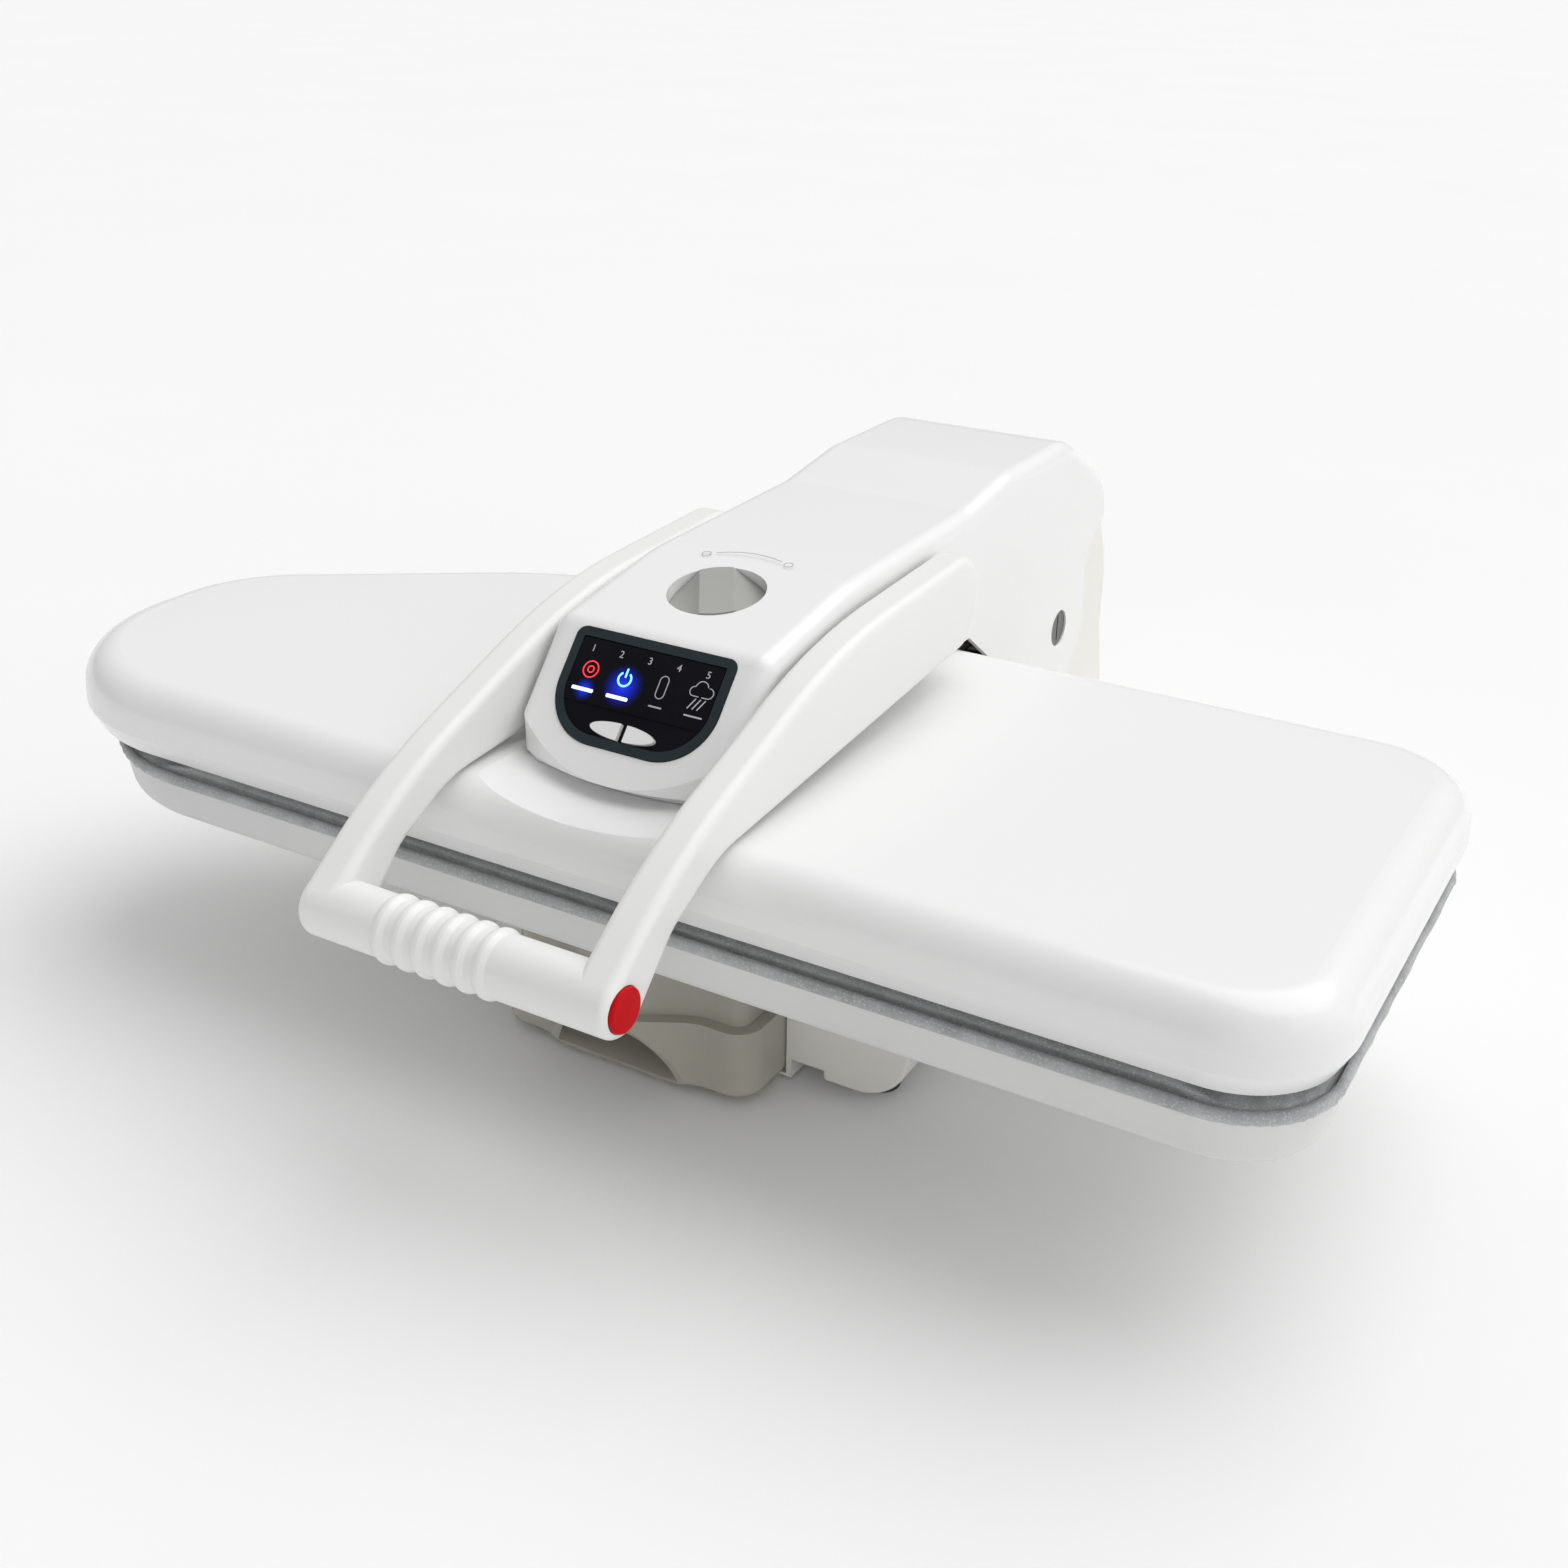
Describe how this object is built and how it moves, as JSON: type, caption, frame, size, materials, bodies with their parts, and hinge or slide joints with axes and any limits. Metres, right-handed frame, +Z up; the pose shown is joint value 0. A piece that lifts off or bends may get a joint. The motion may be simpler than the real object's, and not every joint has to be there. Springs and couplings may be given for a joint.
{
  "type": "steam ironing press",
  "caption": "Tabletop steam ironing press with a hinged heated head over a padded board, lift handle, control panel and pull-out water tank.",
  "frame": {"origin": "on the table under the middle of the part's bounding box", "axes": "+X along the board to its square end, -Y to the front where the handle is, +Z up"},
  "size_m": [0.66, 0.568, 0.2294],
  "materials": {
    "white_shell": "glossy moulded white",
    "satin_white": "satin warm white",
    "cream_plastic": "semi-gloss cream white",
    "pan_paint": "light grey-white powder coat",
    "silver_cloth": "speckled silver-grey ironing cloth",
    "felt": "thick felt",
    "plate_aluminium": "die-cast, machined face",
    "bare_steel": "zinc-plated",
    "brass": "turned",
    "bezel_dark": "dark blue-grey",
    "panel_black": "glossy smoked black",
    "button_white": "glossy white",
    "knob_grey": "satin olive grey",
    "nylon": "natural moulded",
    "button_red": "satin red",
    "circuit_green": "solder-masked board",
    "smoke_clear": "clear smoke-tinted moulding",
    "cap_white": "moulded white",
    "rubber_black": "matt black",
    "hose_silicone": "translucent white"
  },
  "bodies": {
    "root": {"board_pan": "pan_paint", "pad_cloth": "silver_cloth", "pad_felt": "felt", "column_shell": "cream_plastic", "column_bracket": "bare_steel", "bracket_bolts": "bare_steel", "pivot_bushes": "brass", "lift_springs": "bare_steel", "base_shell": "cream_plastic", "base_plate": "pan_paint", "base_screws": "bare_steel", "column_screws": "bare_steel", "board_bolts": "bare_steel", "rubber_feet": "rubber_black", "tank_coupling": "nylon", "water_pump": "nylon", "suction_hose": "hose_silicone", "riser_hose": "hose_silicone", "power_board": "circuit_green", "cord_gland": "rubber_black"},
    "head": {"cover_shell": "white_shell", "cover_screws": "bare_steel", "heater_plate": "plate_aluminium", "heating_element": "bare_steel", "steam_box": "plate_aluminium", "heat_shield": "bare_steel", "plate_spacers": "bare_steel", "thermostat": "brass", "thermal_fuse": "nylon", "head_arm": "bare_steel", "plate_hanger": "bare_steel", "hanger_bolts": "bare_steel", "hood_shell": "white_shell", "hood_screws": "bare_steel", "panel_bezel": "bezel_dark", "panel_window": "panel_black", "display_lens": "panel_black", "button_membrane": "rubber_black", "control_board": "circuit_green", "board_screws": "bare_steel", "pivot_shaft": "bare_steel", "pivot_cap_left": "bezel_dark", "pivot_cap_right": "bezel_dark", "handle_bush_left": "nylon", "handle_bush_right": "nylon", "head_hose": "hose_silicone"},
    "handle": {"handle_frame": "satin_white", "handle_shaft": "bare_steel", "toggle_cam": "bare_steel", "steam_switch": "nylon"},
    "lock": {"lock_knob": "knob_grey", "lock_cam": "nylon"},
    "set_left": {"set_button_left": "button_white"},
    "set_right": {"set_button_right": "button_white"},
    "steam": {"steam_button": "button_red"},
    "tank": {"tank_lower": "smoke_clear", "tank_upper": "smoke_clear"},
    "cap": {"tank_cap": "cap_white"},
    "valve": {"tank_valve": "nylon"}
  },
  "joints": [
    {"name": "head_hinge", "type": "hinge", "parent": "root", "child": "head", "pos_m": [0.014, 0.191, 0.12], "axis": [-1, 0, 0], "range_deg": [0, 50]},
    {"name": "handle_lift", "type": "hinge", "parent": "head", "child": "handle", "pos_m": [0.014, 0.011, 0.198], "axis": [-1, 0, 0], "range_deg": [0, 25]},
    {"name": "lock_turn", "type": "hinge", "parent": "head", "child": "lock", "pos_m": [0.014, -0.087, 0.21391], "axis": [0, 0.1668, -0.986], "range_deg": [0, 60]},
    {"name": "set_left_press", "type": "slide", "parent": "head", "child": "set_left", "axis": [0, 0.7591, -0.6509], "range_m": [0, 0.0012], "stiffness_N_per_m": 400, "springref_m": -0.001},
    {"name": "set_right_press", "type": "slide", "parent": "head", "child": "set_right", "axis": [0, 0.7591, -0.6509], "range_m": [0, 0.0012], "stiffness_N_per_m": 400, "springref_m": -0.001},
    {"name": "steam_press", "type": "slide", "parent": "handle", "child": "steam", "axis": [-1, 0, 0], "range_m": [0, 0.003], "stiffness_N_per_m": 500, "springref_m": -0.002},
    {"name": "tank_slide", "type": "slide", "parent": "root", "child": "tank", "axis": [0, -1, 0], "range_m": [0, 0.07]},
    {"name": "cap_turn", "type": "hinge", "parent": "tank", "child": "cap", "pos_m": [-0.031, -0.133, 0.0723], "axis": [0, 0, 1], "range_deg": [0, 90]},
    {"name": "valve_press", "type": "slide", "parent": "tank", "child": "valve", "axis": [0, -1, 0], "range_m": [0, 0.002], "stiffness_N_per_m": 300, "springref_m": -0.001}
  ]
}
